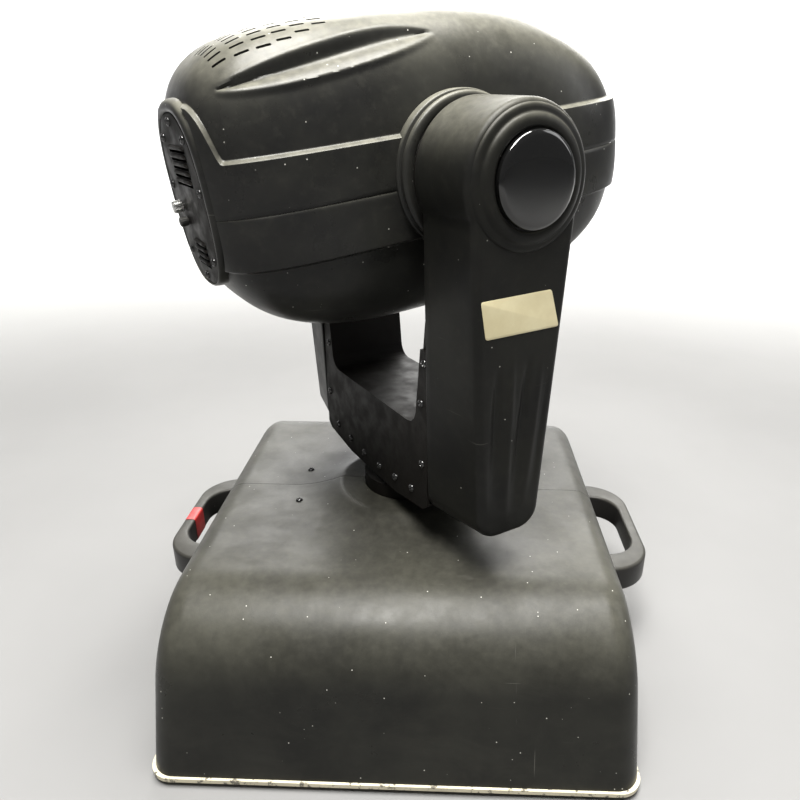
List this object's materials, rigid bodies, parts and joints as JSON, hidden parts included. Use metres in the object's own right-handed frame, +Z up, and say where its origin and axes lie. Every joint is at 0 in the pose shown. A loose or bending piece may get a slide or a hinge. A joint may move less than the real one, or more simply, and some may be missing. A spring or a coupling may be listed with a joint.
{
  "type": "moving head light",
  "caption": "Stage spot light with an enclosed head that tilts between the two arms of a yoke, which pans on a heavy base with side carrying handles.",
  "frame": {"origin": "On the ground under the pan axis, at the middle of the base's footprint.", "axes": "+Z up along the pan axis. +Y towards the side with the connectors. +X to the right seen from the plain front, -Y. At rest the yoke is panned 33 degrees and the head tilted 7.5 degrees up."},
  "size_m": [0.512, 0.491, 0.6156],
  "materials": {
    "cream_paint": "cream powder coat, chipped along the rim",
    "foot_rubber": "matt moulded rubber",
    "cover_plastic": "semi-matt black moulding, dusty and scuffed",
    "head_plastic": "semi-matt black moulding, dusty on top",
    "handle_plastic": "smooth black moulding worn shiny",
    "disc_gloss": "polished black",
    "label_cream": "cream vinyl sticker with no print",
    "black_steel": "black powder coat",
    "bare_steel": "zinc-plated",
    "aluminium": "plain machined",
    "connector_zinc": "satin nickel plate",
    "display_plastic": "dark red tinted window",
    "black_resin": "moulded black",
    "button_plastic": "mid grey moulding",
    "knob_steel": "knurled bright metal",
    "motor_paint": "black enamel",
    "belt_rubber": "toothed rubber belt",
    "iron_core": "varnished laminated core",
    "circuit_board": "green solder mask",
    "ceramic": "unglazed ceramic and plate",
    "lens_glass": "clear coated optical glass",
    "lamp_glass": "clear quartz",
    "reflector_mirror": "polished reflector"
  },
  "bodies": {
    "base": {"base_plate": "cream_paint", "rubber_feet": "foot_rubber", "front_cover": "cover_plastic", "rear_cover": "cover_plastic", "cover_screws": "black_steel", "left_handle": "handle_plastic", "right_handle": "handle_plastic", "handle_screws": "bare_steel", "chassis_bridge": "bare_steel", "turret_collar": "black_steel", "pan_tube": "bare_steel", "pan_pulley": "aluminium", "control_panel": "black_steel", "display_window": "display_plastic", "power_inlet": "black_resin", "fuse_holder": "black_resin", "dmx_in_socket": "connector_zinc", "dmx_out_socket": "connector_zinc", "ballast": "iron_core", "power_supply": "bare_steel", "control_board": "circuit_board"},
    "yoke": {"yoke_frame": "black_steel", "yoke_front_plate": "black_steel", "yoke_rear_plate": "black_steel", "near_arm_cover": "cover_plastic", "far_arm_cover": "cover_plastic", "near_pivot_cap": "disc_gloss", "far_pivot_cap": "disc_gloss", "arm_label": "label_cream", "yoke_screws": "black_steel", "pan_bearing": "bare_steel", "pan_motor": "motor_paint", "pan_belt": "belt_rubber", "tilt_motor": "motor_paint", "tilt_belt": "belt_rubber", "tilt_bearings": "bare_steel"},
    "head": {"head_top_shell": "head_plastic", "head_bottom_shell": "head_plastic", "front_bezel": "head_plastic", "front_lens": "lens_glass", "rear_plate": "black_steel", "head_screws": "black_steel", "head_chassis": "aluminium", "tilt_axles": "bare_steel", "tilt_pulley": "aluminium", "lamp": "lamp_glass", "lamp_holder": "ceramic", "reflector": "reflector_mirror"},
    "power_switch": {"power_switch": "black_resin"},
    "menu_button_1": {"menu_button_1": "button_plastic"},
    "menu_button_2": {"menu_button_2": "button_plastic"},
    "menu_button_3": {"menu_button_3": "button_plastic"},
    "menu_button_4": {"menu_button_4": "button_plastic"},
    "pan_pinion": {"pan_pinion": "aluminium"},
    "tilt_pinion": {"tilt_pinion": "aluminium"},
    "lamp_adjust_knob": {"lamp_adjust_knob": "knob_steel"},
    "lamp_lock_knob": {"lamp_lock_knob": "black_resin"},
    "colour_wheel": {"colour_wheel": "aluminium"},
    "gobo_wheel": {"gobo_wheel": "bare_steel"},
    "focus_lens": {"focus_lens": "lens_glass"}
  },
  "joints": [
    {"name": "pan", "type": "hinge", "parent": "base", "child": "yoke", "pos_m": [0, 0, 0.2], "axis": [0, 0, 1], "range_deg": [-303, 237]},
    {"name": "tilt", "type": "hinge", "parent": "yoke", "child": "head", "pos_m": [0, 0, 0.49], "axis": [0.5446, -0.8387, 0], "range_deg": [-52.5, 217.5]},
    {"name": "pan_pinion_spin", "type": "hinge", "parent": "yoke", "child": "pan_pinion", "pos_m": [-0.06971, 0.10735, 0.214], "axis": [0, 0, 1], "range_deg": [-950, 1214]},
    {"name": "tilt_pinion_spin", "type": "hinge", "parent": "yoke", "child": "tilt_pinion", "pos_m": [0.08605, -0.13251, 0.355], "axis": [0.5446, -0.8387, 0], "range_deg": [-212, 872]},
    {"name": "switch_rock", "type": "hinge", "parent": "base", "child": "power_switch", "pos_m": [-0.066, 0.22969, 0.06128], "axis": [1, 0, 0], "range_deg": [-20, 0]},
    {"name": "menu_button_1_press", "type": "slide", "parent": "base", "child": "menu_button_1", "axis": [0, -0.9816, -0.1908], "range_m": [0, 0.0012], "stiffness_N_per_m": 300},
    {"name": "menu_button_2_press", "type": "slide", "parent": "base", "child": "menu_button_2", "axis": [0, -0.9816, -0.1908], "range_m": [0, 0.0012], "stiffness_N_per_m": 300},
    {"name": "menu_button_3_press", "type": "slide", "parent": "base", "child": "menu_button_3", "axis": [0, -0.9816, -0.1908], "range_m": [0, 0.0012], "stiffness_N_per_m": 300},
    {"name": "menu_button_4_press", "type": "slide", "parent": "base", "child": "menu_button_4", "axis": [0, -0.9816, -0.1908], "range_m": [0, 0.0012], "stiffness_N_per_m": 300},
    {"name": "lamp_adjust_turn", "type": "hinge", "parent": "head", "child": "lamp_adjust_knob", "pos_m": [-0.17734, -0.08893, 0.46303], "axis": [0.8315, 0.54, 0.1305], "range_deg": [-180, 180]},
    {"name": "lamp_lock_turn", "type": "hinge", "parent": "head", "child": "lamp_lock_knob", "pos_m": [-0.17494, -0.08976, 0.45114], "axis": [0.8315, 0.54, 0.1305], "range_deg": [-180, 0]},
    {"name": "colour_wheel_spin", "type": "hinge", "parent": "head", "child": "colour_wheel", "pos_m": [-0.03842, -0.02495, 0.43959], "axis": [0.8315, 0.54, 0.1305], "continuous": true},
    {"name": "gobo_wheel_spin", "type": "hinge", "parent": "head", "child": "gobo_wheel", "pos_m": [-0.03891, -0.02527, 0.52827], "axis": [0.8315, 0.54, 0.1305], "continuous": true},
    {"name": "focus_slide", "type": "slide", "parent": "head", "child": "focus_lens", "axis": [0.8315, 0.54, 0.1305], "range_m": [-0.03, 0.035]}
  ],
  "couplings": [
    {"joint": "pan_pinion_spin", "follows": "pan", "ratio": -4},
    {"joint": "tilt_pinion_spin", "follows": "tilt", "ratio": 4}
  ]
}
